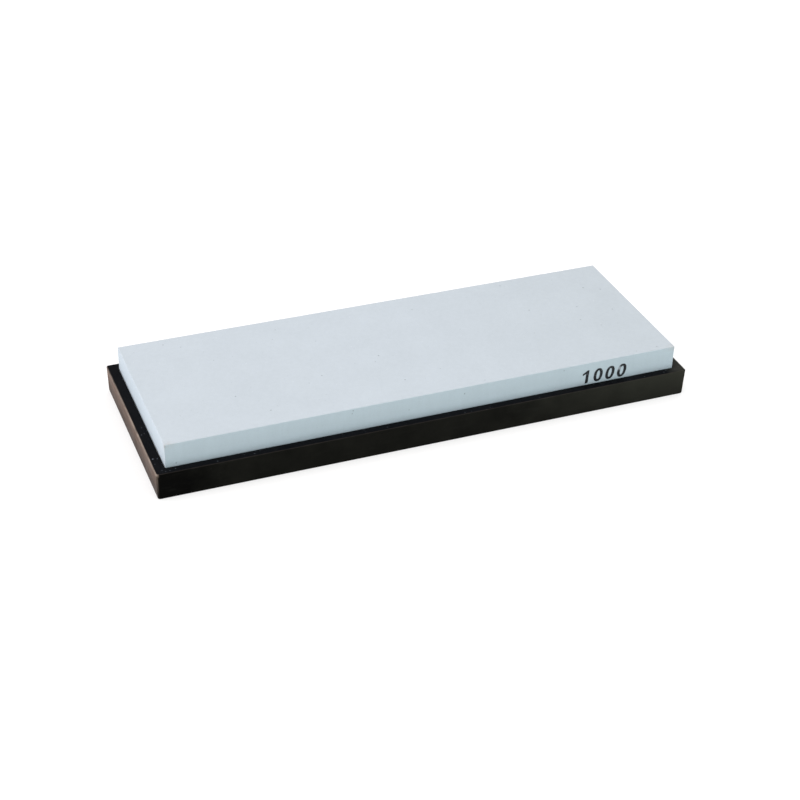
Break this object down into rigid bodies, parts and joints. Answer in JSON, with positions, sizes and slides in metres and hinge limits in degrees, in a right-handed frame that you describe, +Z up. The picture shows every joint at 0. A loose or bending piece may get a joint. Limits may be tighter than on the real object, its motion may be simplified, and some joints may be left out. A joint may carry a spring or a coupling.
{
  "type": "sharpening whetstone",
  "caption": "Flat rectangular sharpening stone that lies loose in a low moulded rubber base with a narrow flat rim.",
  "frame": {"origin": "middle of the base's underside, on the surface that it stands on", "axes": "+X along the stone, +Z up out of the sharpening face; the long side with the grit number faces -Y"},
  "size_m": [0.1876, 0.0684, 0.0181],
  "materials": {
    "abrasive_stone": "matte",
    "black_rubber": "satin",
    "marking_ink": "matte"
  },
  "bodies": {
    "base": {"rubber_base": "black_rubber"},
    "stone": {"whetstone": "abrasive_stone"}
  },
  "joints": [
    {"name": "stone_lift", "type": "slide", "parent": "base", "child": "stone", "axis": [0, 0, 1], "range_m": [0, 0.03]}
  ]
}
